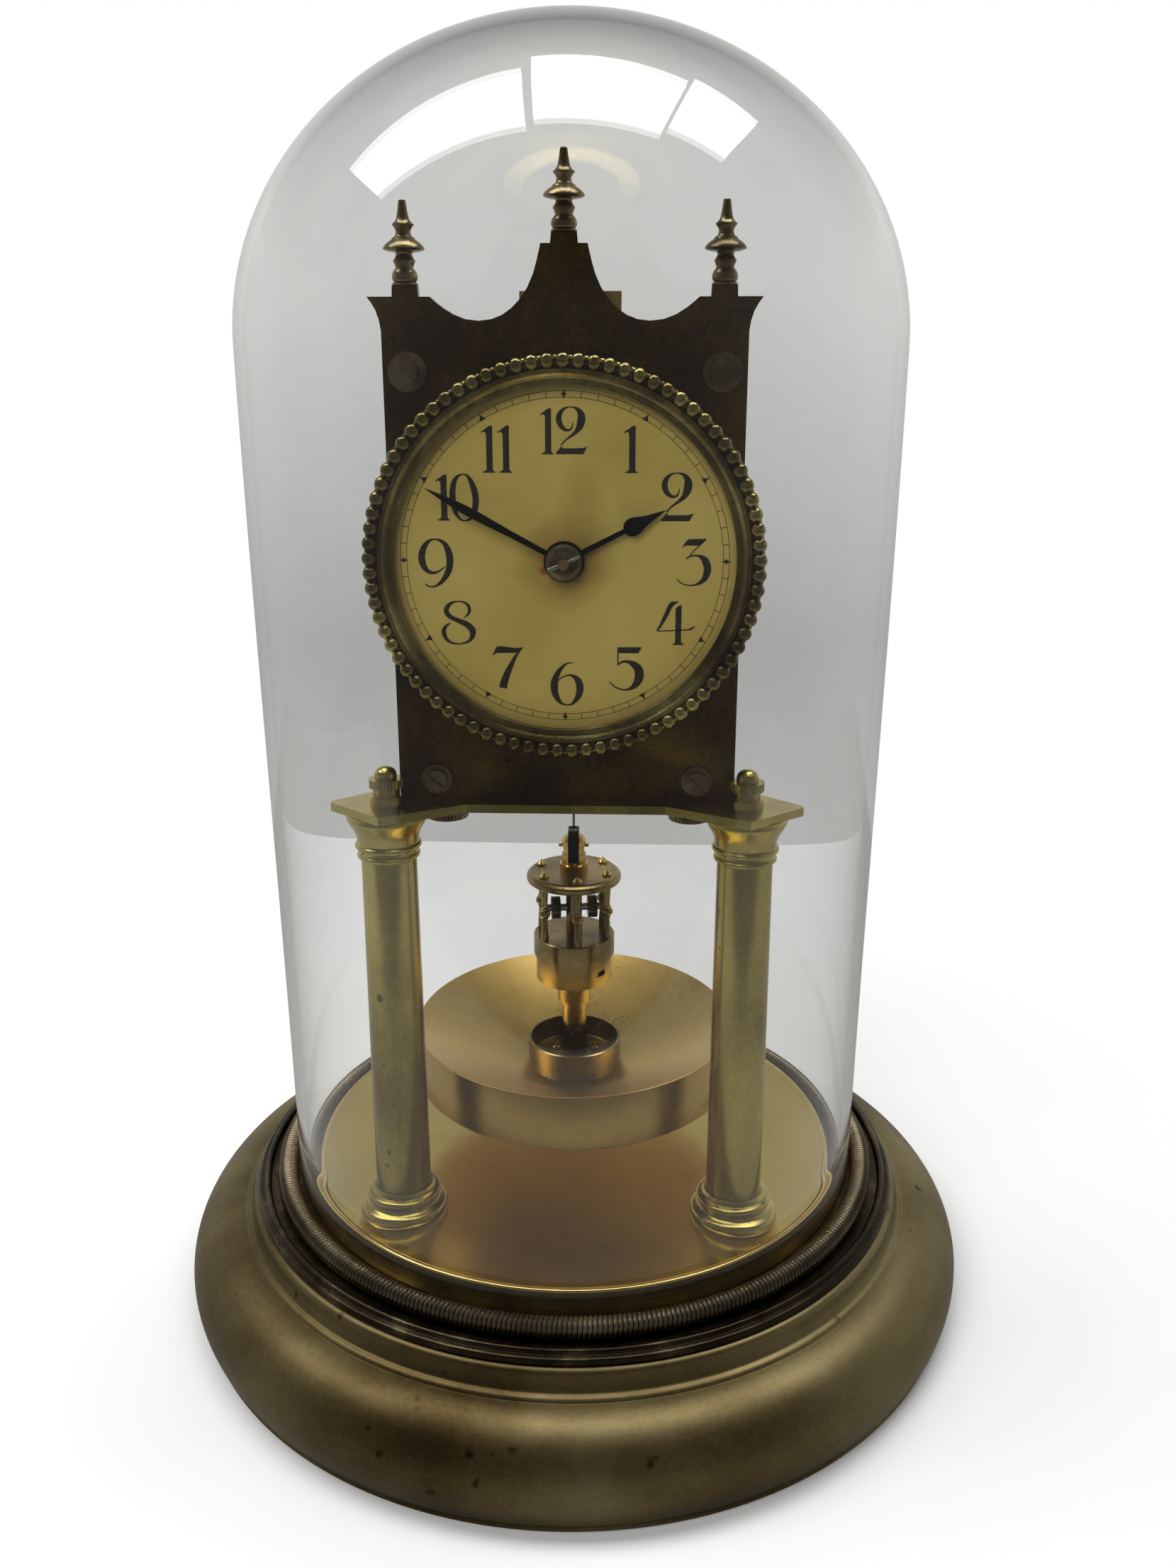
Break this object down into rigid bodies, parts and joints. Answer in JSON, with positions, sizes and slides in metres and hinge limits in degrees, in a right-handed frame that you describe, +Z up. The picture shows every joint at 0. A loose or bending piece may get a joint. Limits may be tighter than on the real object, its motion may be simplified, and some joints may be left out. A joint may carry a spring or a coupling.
{
  "type": "anniversary clock",
  "caption": "Torsion-pendulum mantel clock with a round dial on a brass movement, raised on columns over a slow-turning disc pendulum, on a round moulded base under a glass dome.",
  "frame": {"origin": "centre of the base underside, on the table", "axes": "+Z up along the pendulum axis, dial facing -Y, +X to the viewer's right"},
  "size_m": [0.2, 0.2, 0.3],
  "materials": {
    "aged_brass": "satin",
    "base_bronze": "satin",
    "polished_brass": "polished",
    "dark_plate": "satin",
    "coil_wire": "matte",
    "dome_glass": "clear",
    "dial_cream": "matte",
    "blued_steel": "polished",
    "steel": "satin",
    "wheel_brass": "satin",
    "gilt": "polished",
    "board": "matte",
    "felt": "matte"
  },
  "bodies": {
    "frame": {"base_shell": "base_bronze", "base_board": "board", "felt_pad": "felt", "seat_ring": "base_bronze", "coil_ring": "coil_wire", "floor_plate": "polished_brass", "column_feet": "aged_brass", "columns": "aged_brass", "column_capitals": "aged_brass", "tie_rods": "aged_brass", "column_nuts": "aged_brass", "rod_end_nuts": "steel", "platform": "aged_brass", "thumb_screws": "aged_brass", "front_plate": "dark_plate", "back_plate": "dark_plate", "movement_pillars": "aged_brass", "plate_screws": "dark_plate", "plate_washers": "dark_plate", "pediment": "dark_plate", "finials": "aged_brass", "dial_plate": "dial_cream", "bezel": "aged_brass", "click_spring": "steel", "back_screws": "blued_steel", "suspension_bracket": "aged_brass", "top_block": "wheel_brass", "suspension_spring": "steel"},
    "dome": {"glass_dome": "dome_glass"},
    "minute_arbor": {"centre_wheel": "wheel_brass", "cannon_pinion": "wheel_brass", "minute_hand": "blued_steel", "hand_collet": "aged_brass", "taper_pin": "steel"},
    "hour_work": {"hour_wheel": "wheel_brass", "hour_hand": "blued_steel"},
    "minute_work": {"minute_wheel": "wheel_brass"},
    "going_barrel": {"barrel": "wheel_brass", "mainspring": "blued_steel"},
    "winding": {"winding_arbor": "steel", "ratchet_wheel": "steel"},
    "click_pawl": {"click": "steel"},
    "first_arbor": {"first_wheel": "wheel_brass"},
    "second_arbor": {"second_wheel": "wheel_brass"},
    "third_arbor": {"third_wheel": "wheel_brass"},
    "escape_arbor": {"escape_wheel": "wheel_brass"},
    "anchor_arbor": {"anchor": "steel"},
    "fork_arm": {"fork": "wheel_brass"},
    "pendulum": {"pendulum_disc": "aged_brass", "pendulum_hub": "aged_brass", "pendulum_tube": "aged_brass", "gallery_drum": "aged_brass", "gallery_posts": "aged_brass", "gallery_top": "aged_brass", "pendulum_head": "gilt", "bottom_block": "blued_steel", "pendulum_screws": "gilt"},
    "spindle": {"regulating_spindle": "steel"},
    "weight_left": {"regulating_weight_left": "dark_plate"},
    "weight_right": {"regulating_weight_right": "dark_plate"}
  },
  "joints": [
    {"name": "dome_lift", "type": "slide", "parent": "frame", "child": "dome", "axis": [0, 0, 1], "range_m": [0, 0.25]},
    {"name": "minute_turn", "type": "hinge", "parent": "frame", "child": "minute_arbor", "pos_m": [0, -0.03, 0.1922], "axis": [0, 1, 0], "continuous": true},
    {"name": "hour_turn", "type": "hinge", "parent": "frame", "child": "hour_work", "pos_m": [0, -0.036, 0.1922], "axis": [0, 1, 0], "continuous": true},
    {"name": "minute_wheel_turn", "type": "hinge", "parent": "frame", "child": "minute_work", "pos_m": [-0.01088, -0.036, 0.18713], "axis": [0, 1, 0], "continuous": true},
    {"name": "barrel_turn", "type": "hinge", "parent": "frame", "child": "going_barrel", "pos_m": [-0.01144, -0.02, 0.16545], "axis": [0, 1, 0], "continuous": true},
    {"name": "first_wheel_turn", "type": "hinge", "parent": "frame", "child": "first_arbor", "pos_m": [0.01246, -0.02, 0.17186], "axis": [0, 1, 0], "continuous": true},
    {"name": "second_wheel_turn", "type": "hinge", "parent": "frame", "child": "second_arbor", "pos_m": [0.01773, -0.02, 0.18907], "axis": [0, 1, 0], "continuous": true},
    {"name": "third_wheel_turn", "type": "hinge", "parent": "frame", "child": "third_arbor", "pos_m": [-0.00795, -0.02, 0.20492], "axis": [0, 1, 0], "continuous": true},
    {"name": "escape_wheel_turn", "type": "hinge", "parent": "frame", "child": "escape_arbor", "pos_m": [0, -0.02, 0.21391], "axis": [0, 1, 0], "continuous": true},
    {"name": "winding_turn", "type": "hinge", "parent": "frame", "child": "winding", "pos_m": [-0.01144, -0.02, 0.16545], "axis": [0, 1, 0], "continuous": true},
    {"name": "click_lift", "type": "hinge", "parent": "frame", "child": "click_pawl", "pos_m": [-0.00654, -0.007, 0.17394], "axis": [0, 1, 0], "range_deg": [0, 5]},
    {"name": "pendulum_swing", "type": "hinge", "parent": "frame", "child": "pendulum", "pos_m": [0, 0, 0.1], "axis": [0, 0, 1], "range_deg": [-165, 165], "stiffness_Nm_per_rad": 0.000052},
    {"name": "fork_swing", "type": "hinge", "parent": "frame", "child": "fork_arm", "pos_m": [0, 0, 0.2375], "axis": [0, 0, 1], "range_deg": [-3.4, 3.4]},
    {"name": "anchor_rock", "type": "hinge", "parent": "frame", "child": "anchor_arbor", "pos_m": [0, -0.02, 0.22631], "axis": [0, 1, 0], "range_deg": [-4.2, 4.2]},
    {"name": "spindle_turn", "type": "hinge", "parent": "pendulum", "child": "spindle", "pos_m": [0, 0, 0.0996], "axis": [0.9903, 0.1392, 0], "range_deg": [-360, 360]},
    {"name": "weight_left_travel", "type": "slide", "parent": "pendulum", "child": "weight_left", "axis": [0.9903, 0.1392, 0], "range_m": [-0.0007, 0.0007]},
    {"name": "weight_right_travel", "type": "slide", "parent": "pendulum", "child": "weight_right", "axis": [0.9903, 0.1392, 0], "range_m": [-0.0007, 0.0007]}
  ],
  "couplings": [
    {"joint": "hour_turn", "follows": "minute_turn", "ratio": 0.083333},
    {"joint": "minute_wheel_turn", "follows": "minute_turn", "ratio": -0.33333},
    {"joint": "third_wheel_turn", "follows": "minute_turn", "ratio": -4},
    {"joint": "escape_wheel_turn", "follows": "minute_turn", "ratio": 12},
    {"joint": "second_wheel_turn", "follows": "minute_turn", "ratio": -0.125},
    {"joint": "first_wheel_turn", "follows": "minute_turn", "ratio": 0.015625},
    {"joint": "barrel_turn", "follows": "minute_turn", "ratio": -0.0015625},
    {"joint": "fork_swing", "follows": "pendulum_swing", "ratio": 0.02},
    {"joint": "anchor_rock", "follows": "pendulum_swing", "ratio": 0.02413},
    {"joint": "spindle_turn", "follows": "weight_left_travel", "rad_per_m": -8975},
    {"joint": "weight_right_travel", "follows": "weight_left_travel", "ratio": -1}
  ]
}
